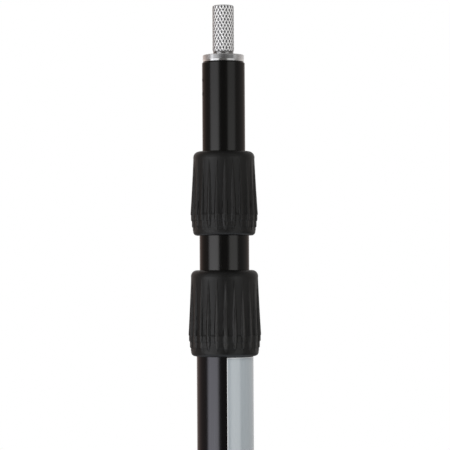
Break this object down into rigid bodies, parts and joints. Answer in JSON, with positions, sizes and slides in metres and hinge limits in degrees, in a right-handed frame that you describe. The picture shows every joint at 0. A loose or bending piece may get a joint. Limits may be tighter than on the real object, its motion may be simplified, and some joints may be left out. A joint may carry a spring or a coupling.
{
  "type": "telescopic boom pole",
  "caption": "Collapsed telescopic boom pole with ribbed twist-lock collars, a polished tip disc and a knurled threaded-size stud, closed by a rubber butt plug.",
  "frame": {"origin": "centre of the butt's end face", "axes": "+Z along the pole from butt to tip, -Y towards the front with the label's left edge, +X to the right"},
  "size_m": [0.0322, 0.0322, 0.8054],
  "materials": {
    "black_anodised": "satin black anodised",
    "black_rubber": "matte",
    "soft_pad": "matte foam rubber",
    "wiper_felt": "felt",
    "bare_aluminium": "turned",
    "white_acetal": "natural",
    "black_acetal": "satin",
    "silver_label": "satin silver-grey film, blank",
    "polished_disc": "polished",
    "plated_stud": "bright nickel, diamond knurl",
    "plated_steel": "zinc plated",
    "blackened_pin": "blackened"
  },
  "bodies": {
    "outer_section": {"outer_tube": "black_anodised", "tube_label": "silver_label", "end_plug": "black_rubber", "bump_pad": "soft_pad", "lower_ferrule": "bare_aluminium"},
    "lower_collet_ring": {"lower_collet": "white_acetal", "lower_thrust_washer": "white_acetal"},
    "lower_collar": {"lower_collar_nut": "bare_aluminium", "lower_grip_sleeve": "black_rubber", "lower_wiper_ring": "wiper_felt"},
    "middle_ring": {"middle_guide_ring": "black_acetal"},
    "middle_section": {"middle_tube": "black_anodised", "middle_bush": "black_acetal", "middle_guide_sleeve": "black_acetal", "middle_bump_pad": "soft_pad", "upper_ferrule": "bare_aluminium"},
    "upper_collet_ring": {"upper_collet": "white_acetal", "upper_thrust_washer": "white_acetal"},
    "upper_collar": {"upper_collar_nut": "bare_aluminium", "upper_grip_sleeve": "black_rubber", "upper_wiper_ring": "wiper_felt"},
    "inner_ring": {"inner_guide_ring": "black_acetal"},
    "inner_section": {"inner_tube": "black_anodised", "inner_bush": "black_acetal", "inner_guide_sleeve": "black_acetal", "tip_insert": "polished_disc", "knurled_stud": "plated_stud", "stud_lock_nut": "plated_steel", "stud_spring_washer": "plated_steel", "tip_rivets": "blackened_pin"}
  },
  "joints": [
    {"name": "middle_slide", "type": "slide", "parent": "outer_section", "child": "middle_ring", "axis": [0, 0, 1], "range_m": [0, 0.582]},
    {"name": "middle_turn", "type": "hinge", "parent": "middle_ring", "child": "middle_section", "pos_m": [0, 0, 0.0222], "axis": [0, 0, 1], "continuous": true},
    {"name": "inner_slide", "type": "slide", "parent": "middle_section", "child": "inner_ring", "axis": [0, 0, 1], "range_m": [0, 0.615]},
    {"name": "inner_turn", "type": "hinge", "parent": "inner_ring", "child": "inner_section", "pos_m": [0, 0, 0.0425], "axis": [0, 0, 1], "continuous": true},
    {"name": "lower_collet_lift", "type": "slide", "parent": "outer_section", "child": "lower_collet_ring", "axis": [0, 0, 1], "range_m": [0, 0.00076]},
    {"name": "lower_collar_turn", "type": "hinge", "parent": "lower_collet_ring", "child": "lower_collar", "pos_m": [0, 0, 0.681], "axis": [0, 0, 1], "range_deg": [0, 180]},
    {"name": "upper_collet_lift", "type": "slide", "parent": "middle_section", "child": "upper_collet_ring", "axis": [0, 0, 1], "range_m": [0, 0.00076]},
    {"name": "upper_collar_turn", "type": "hinge", "parent": "upper_collet_ring", "child": "upper_collar", "pos_m": [0, 0, 0.7343], "axis": [0, 0, 1], "range_deg": [0, 180]}
  ],
  "couplings": [
    {"joint": "lower_collet_lift", "follows": "lower_collar_turn", "m_per_rad": 0.00023873},
    {"joint": "upper_collet_lift", "follows": "upper_collar_turn", "m_per_rad": 0.00023873}
  ]
}
